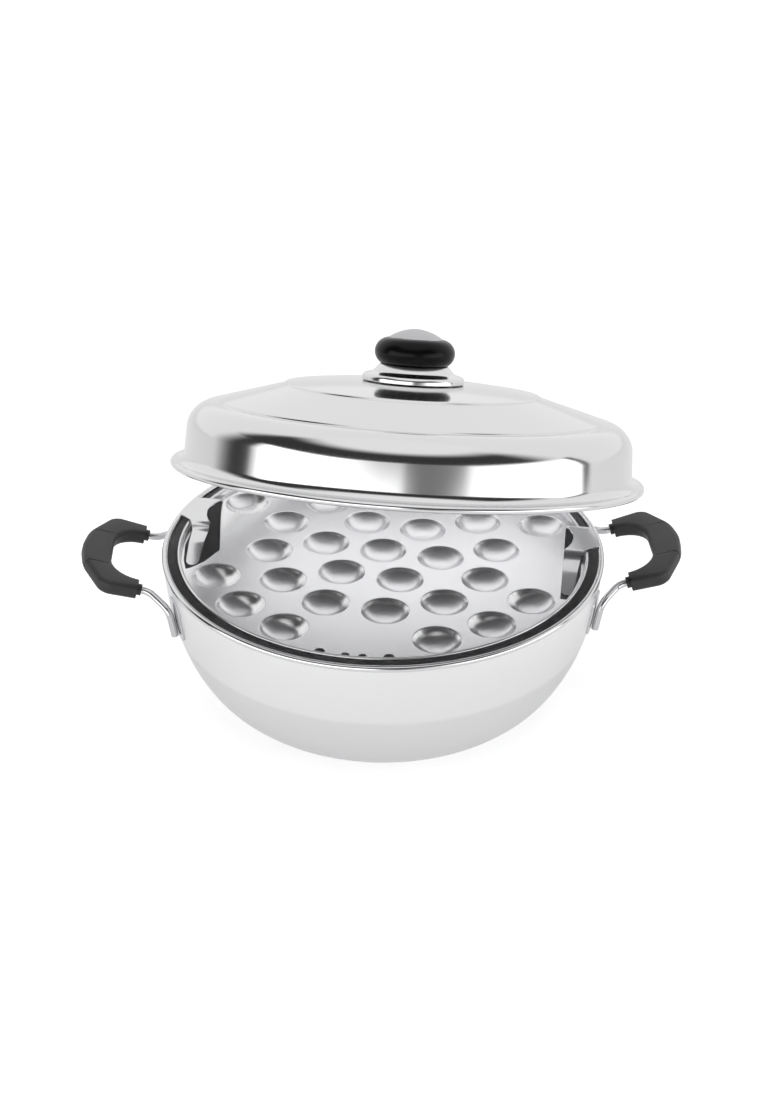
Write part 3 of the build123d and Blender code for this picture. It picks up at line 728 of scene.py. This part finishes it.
# 1 for rays of these kinds, 0 for all others
def seenShare(tree, kinds):
    path = addNode(tree, "ShaderNodeLightPath")
    share = path.outputs[kinds[0]]
    for kind in kinds[1:]:
        either = {0: share, 1: path.outputs[kind]}
        share = addNode(tree, "ShaderNodeMath", {"operation": "MAXIMUM"}, either).outputs[0]
    return share


def showInStudio(name, bm, material):
    mesh = bpy.data.meshes.new(name)
    bm.to_mesh(mesh)
    bm.free()
    card = bpy.data.objects.new(name, mesh)
    bpy.context.scene.collection.objects.link(card)
    mesh.materials.append(material)
    return card


def makeFloor(o):
    material, tree = newMaterial("paleFloor")
    plain = addNode(tree, "ShaderNodeBsdfDiffuse", {"Color": hexColour(o["floor"])})
    seen = seenShare(tree, ["Is Camera Ray", "Is Transmission Ray"])
    mirrored = seenShare(tree, ["Is Glossy Ray"])
    direct = addNode(tree, "ShaderNodeMath", {"operation": "MULTIPLY", 1: o["glow"]}, {0: seen})
    strength = addNode(tree, "ShaderNodeMath", {"operation": "MULTIPLY_ADD", 1: o["metalGlow"]},
                       {0: mirrored, 2: direct.outputs[0]})
    glow = addNode(tree, "ShaderNodeEmission", {"Color": (1, 1, 1, 1)}, {"Strength": strength.outputs[0]})
    both = addNode(tree, "ShaderNodeAddShader", None, {0: plain.outputs[0], 1: glow.outputs[0]})
    addNode(tree, "ShaderNodeOutputMaterial", links={"Surface": both.outputs[0]})
    bm = bmesh.new()
    bmesh.ops.create_circle(bm, cap_ends=True, segments=o["floorSteps"], radius=o["floorReach"])
    floor = showInStudio("floor", bm, material)
    floor.location.z = -o["floorGap"]


# from 0 to 1 over so many degrees about the card's edge
def ramp(value, start, width):
    share = min(1, max(0, (value - start) / width + 0.5))
    return share * share * (3 - 2 * share)


def wallTone(o, across, up):
    tone = o["plain"]
    for card in o["cards"]:
        left, right, low, high = card["soft"]
        share = ramp(across, card["across"][0], left) * ramp(-across, -card["across"][1], right)
        share *= ramp(up, card["up"][0], low) * ramp(-up, -card["up"][1], high)
        tone += (card["tone"] - tone) * share
    return tone


# the ring of pale and dark cards round the object, seen only in its first reflection
def makeWall(o):
    material, tree = newMaterial("studioCards")
    printed = addNode(tree, "ShaderNodeAttribute", {"attribute_name": "tone"})
    shown = addNode(tree, "ShaderNodeEmission", {"Strength": 1.0}, {"Color": printed.outputs["Color"]})
    clear = addNode(tree, "ShaderNodeBsdfTransparent")
    depth = addNode(tree, "ShaderNodeLightPath").outputs["Ray Depth"]
    later = addNode(tree, "ShaderNodeMath", {"operation": "GREATER_THAN", 1: o["firstReflection"]},
                    {0: depth})
    mix = addNode(tree, "ShaderNodeMixShader", None,
                  {0: later.outputs[0], 1: shown.outputs[0], 2: clear.outputs[0]})
    addNode(tree, "ShaderNodeOutputMaterial", links={"Surface": mix.outputs[0]})
    bm = bmesh.new()
    reach = o["wallReach"]
    low, high = o["wallRise"]
    start = bm.verts.new((0, -reach * math.cos(math.radians(low)), reach * math.sin(math.radians(low))))
    bmesh.ops.spin(bm, geom=[start], cent=(0, 0, 0), axis=(-1, 0, 0), angle=math.radians(high - low),
                   steps=high - low)
    spinRound(bm, o["wallSteps"])
    tone = bm.verts.layers.float_color.new("tone")
    for vert in bm.verts:
        x, y, z = vert.co
        value = wallTone(o, math.degrees(math.atan2(x, -y)), math.degrees(math.asin(z / reach)))
        vert[tone] = (value, value, value, 1)
    bmesh.ops.translate(bm, vec=(0, 0, o["wallMiddle"]), verts=bm.verts[:])
    wall = showInStudio("studioWall", bm, material)
    wall.visible_camera = False
    wall.visible_diffuse = False
    wall.visible_shadow = False


def makeLamp(name, place, size, power, aim=studio["aim"], spread=180):
    data = bpy.data.lights.new(name, "AREA")
    data.shape = "RECTANGLE"
    data.size, data.size_y = size
    data.energy = power
    data.spread = math.radians(spread)
    lamp = bpy.data.objects.new(name, data)
    lamp.location = place
    lamp.rotation_euler = (Vector(aim) - Vector(place)).to_track_quat("-Z", "Y").to_euler()
    bpy.context.scene.collection.objects.link(lamp)
    lamp.visible_camera = False
    lamp.visible_glossy = False


makeFloor(studio)
makeWall(studio)
for values in studio["lamps"]:
    makeLamp(**values)

world = bpy.data.worlds.new("studio")
bpy.context.scene.world = world
world.use_nodes = True
world.node_tree.nodes.clear()
seen = seenShare(world.node_tree, ["Is Camera Ray", "Is Glossy Ray", "Is Transmission Ray"])
strength = addNode(world.node_tree, "ShaderNodeMapRange", {"To Min": studio["world"], "To Max": 1.0},
                   {"Value": seen})
sky = addNode(world.node_tree, "ShaderNodeBackground", {"Color": (1, 1, 1, 1)},
              {"Strength": strength.outputs[0]})
addNode(world.node_tree, "ShaderNodeOutputWorld", links={"Surface": sky.outputs[0]})
print("studio made")

scene = bpy.context.scene
scene.view_settings.view_transform = "Standard"
